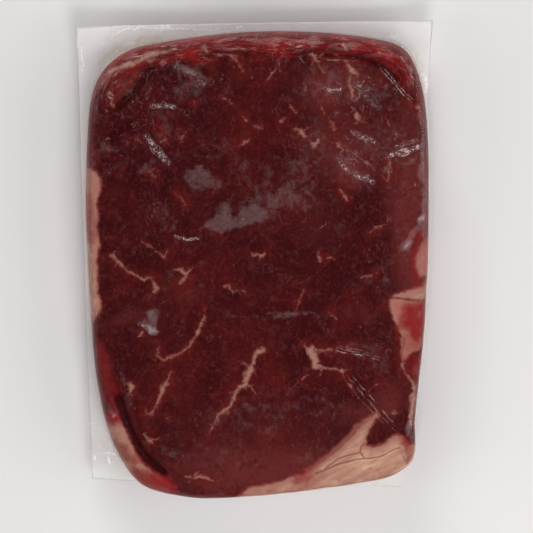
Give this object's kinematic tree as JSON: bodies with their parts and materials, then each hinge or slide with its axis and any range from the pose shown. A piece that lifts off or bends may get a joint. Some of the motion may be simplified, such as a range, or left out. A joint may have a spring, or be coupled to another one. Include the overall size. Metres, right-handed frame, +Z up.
{
  "type": "vacuum-packed raw beef steak",
  "caption": "Thick raw beef steak with fat along its edges, sealed in a clear tight pouch with a narrow free edge, lying flat on its back.",
  "frame": {"origin": "on the table, under the middle of the pack's box", "axes": "+Z up from the flat back to the good face; +Y along the steak to its broad straight end; +X across it"},
  "size_m": [0.1228, 0.1662, 0.0274],
  "materials": {
    "meat": "moist raw meat, dark red, marbled with pale fat",
    "film": "clear glossy vacuum film"
  },
  "bodies": {
    "root": {"sealed_pack": "meat"}
  },
  "joints": []
}
